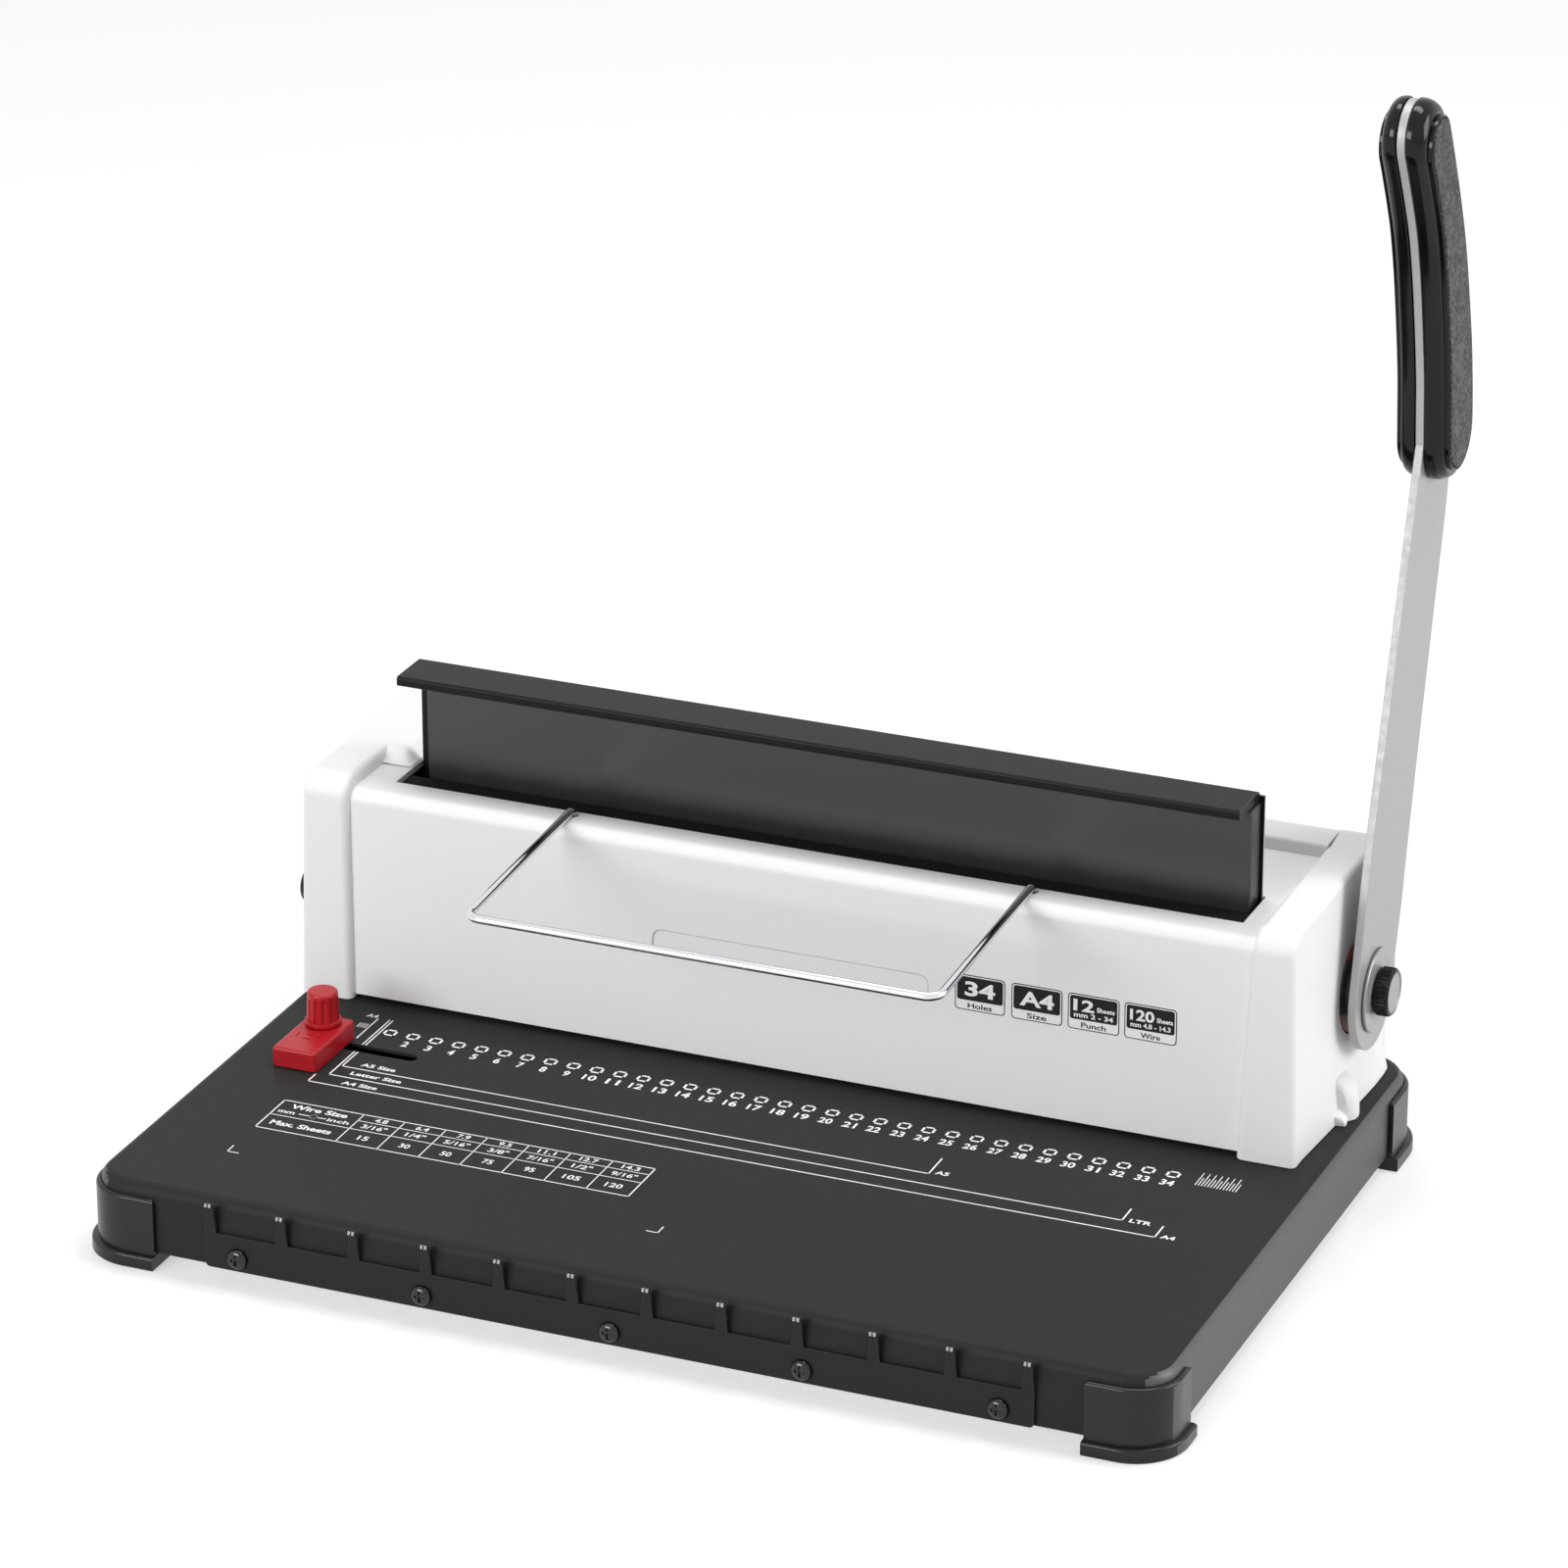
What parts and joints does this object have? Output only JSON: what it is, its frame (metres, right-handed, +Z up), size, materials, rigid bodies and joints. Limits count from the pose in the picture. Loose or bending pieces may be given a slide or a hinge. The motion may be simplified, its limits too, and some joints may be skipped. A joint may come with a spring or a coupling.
{
  "type": "wire binding machine",
  "caption": "Desktop punch and bind machine for twin-loop wire: black deck with hooks and edge guide, white housing with wire closer, and a tall side lever with a padded grip.",
  "frame": {"origin": "centre of the bounding box at floor level, under the feet", "axes": "+X along the hole row towards the lever, +Y to the back of the machine, +Z up"},
  "size_m": [0.3834, 0.2792, 0.3686],
  "materials": {
    "deck_paint": "satin powder coat",
    "closer_paint": "semi-gloss",
    "lever_paint": "silver metallic",
    "hub_red": "satin",
    "black_screw": "black oxide",
    "zinc_steel": "zinc plated",
    "chrome_wire": "polished",
    "white_plastic": "fine satin",
    "foot_plastic": "satin",
    "red_plastic": "satin gloss",
    "knob_plastic": "satin",
    "grip_gloss": "gloss",
    "insert_rubber": "fine grain",
    "anvil_coating": "rough"
  },
  "bodies": {
    "base": {"deck": "deck_paint", "floor_plate": "zinc_steel", "foot_front_left": "foot_plastic", "foot_front_right": "foot_plastic", "foot_back_left": "foot_plastic", "foot_back_right": "foot_plastic", "hook_strip": "deck_paint", "strip_screw_1": "black_screw", "strip_screw_2": "black_screw", "strip_screw_3": "black_screw", "strip_screw_4": "black_screw", "strip_screw_5": "black_screw", "centre_cover": "white_plastic", "left_cover": "white_plastic", "right_cover": "white_plastic", "anvil_bar": "closer_paint", "anvil_pad": "anvil_coating", "left_frame": "zinc_steel", "right_frame": "zinc_steel", "tie_rod_lower": "zinc_steel", "tie_rod_upper": "zinc_steel", "shaft_bush_left": "zinc_steel", "shaft_bush_right": "zinc_steel", "die_plate": "zinc_steel", "stripper_plate": "zinc_steel", "paper_stop": "zinc_steel", "punch_guide_left": "zinc_steel", "punch_guide_right": "zinc_steel", "return_spring": "zinc_steel", "bail": "chrome_wire"},
    "handle": {"drive_shaft": "zinc_steel", "closer_gear_left": "zinc_steel", "closer_gear_right": "zinc_steel", "punch_pinion_left": "zinc_steel", "punch_pinion_right": "zinc_steel", "hub_flange": "hub_red", "lever": "lever_paint", "lever_washer": "lever_paint", "grip_inner": "grip_gloss", "grip_outer": "grip_gloss", "grip_insert_inner": "insert_rubber", "grip_insert_outer": "insert_rubber"},
    "lever_knob": {"thumb_knob": "knob_plastic"},
    "punch": {"punch_beam": "zinc_steel", "pin_comb": "zinc_steel", "punch_rack_left": "zinc_steel", "punch_rack_right": "zinc_steel"},
    "closer": {"closer_plate": "closer_paint", "closer_block": "closer_paint", "closer_rack_left": "zinc_steel", "closer_rack_right": "zinc_steel"},
    "guide": {"edge_guide": "red_plastic", "guide_nut": "zinc_steel"},
    "guide_clamp": {"guide_knob": "red_plastic"},
    "size_selector": {"size_knob": "knob_plastic", "size_cam": "zinc_steel"},
    "tray": {"chip_tray": "foot_plastic"}
  },
  "joints": [
    {"name": "handle_pull", "type": "hinge", "parent": "base", "child": "handle", "pos_m": [0.18035, 0.07981, 0.0678], "axis": [1, 0, 0], "range_deg": [0, 90], "stiffness_Nm_per_rad": 0.3, "springref_deg": -137.51},
    {"name": "punch_stroke", "type": "slide", "parent": "base", "child": "punch", "axis": [0, 0, -1], "range_m": [0, 0.0142]},
    {"name": "closer_stroke", "type": "slide", "parent": "base", "child": "closer", "axis": [0, 0, -1], "range_m": [0, 0.0307]},
    {"name": "lever_knob_turn", "type": "hinge", "parent": "handle", "child": "lever_knob", "pos_m": [0.18035, 0.07981, 0.0678], "axis": [1, 0, 0], "range_deg": [0, 270]},
    {"name": "guide_slide", "type": "slide", "parent": "base", "child": "guide", "axis": [1, 0, 0], "range_m": [-0.006, 0.032]},
    {"name": "guide_clamp_turn", "type": "hinge", "parent": "guide", "child": "guide_clamp", "pos_m": [-0.15445, -0.01439, 0.0356], "axis": [0, 0, 1], "range_deg": [0, 270]},
    {"name": "size_turn", "type": "hinge", "parent": "base", "child": "size_selector", "pos_m": [-0.17925, 0.04961, 0.0546], "axis": [-1, 0, 0], "range_deg": [0, 270]},
    {"name": "tray_pull", "type": "slide", "parent": "base", "child": "tray", "axis": [0, 1, 0], "range_m": [0, 0.085]}
  ],
  "couplings": [
    {"joint": "punch_stroke", "follows": "handle_pull", "m_per_rad": 0.009},
    {"joint": "closer_stroke", "follows": "handle_pull", "m_per_rad": 0.0195}
  ]
}
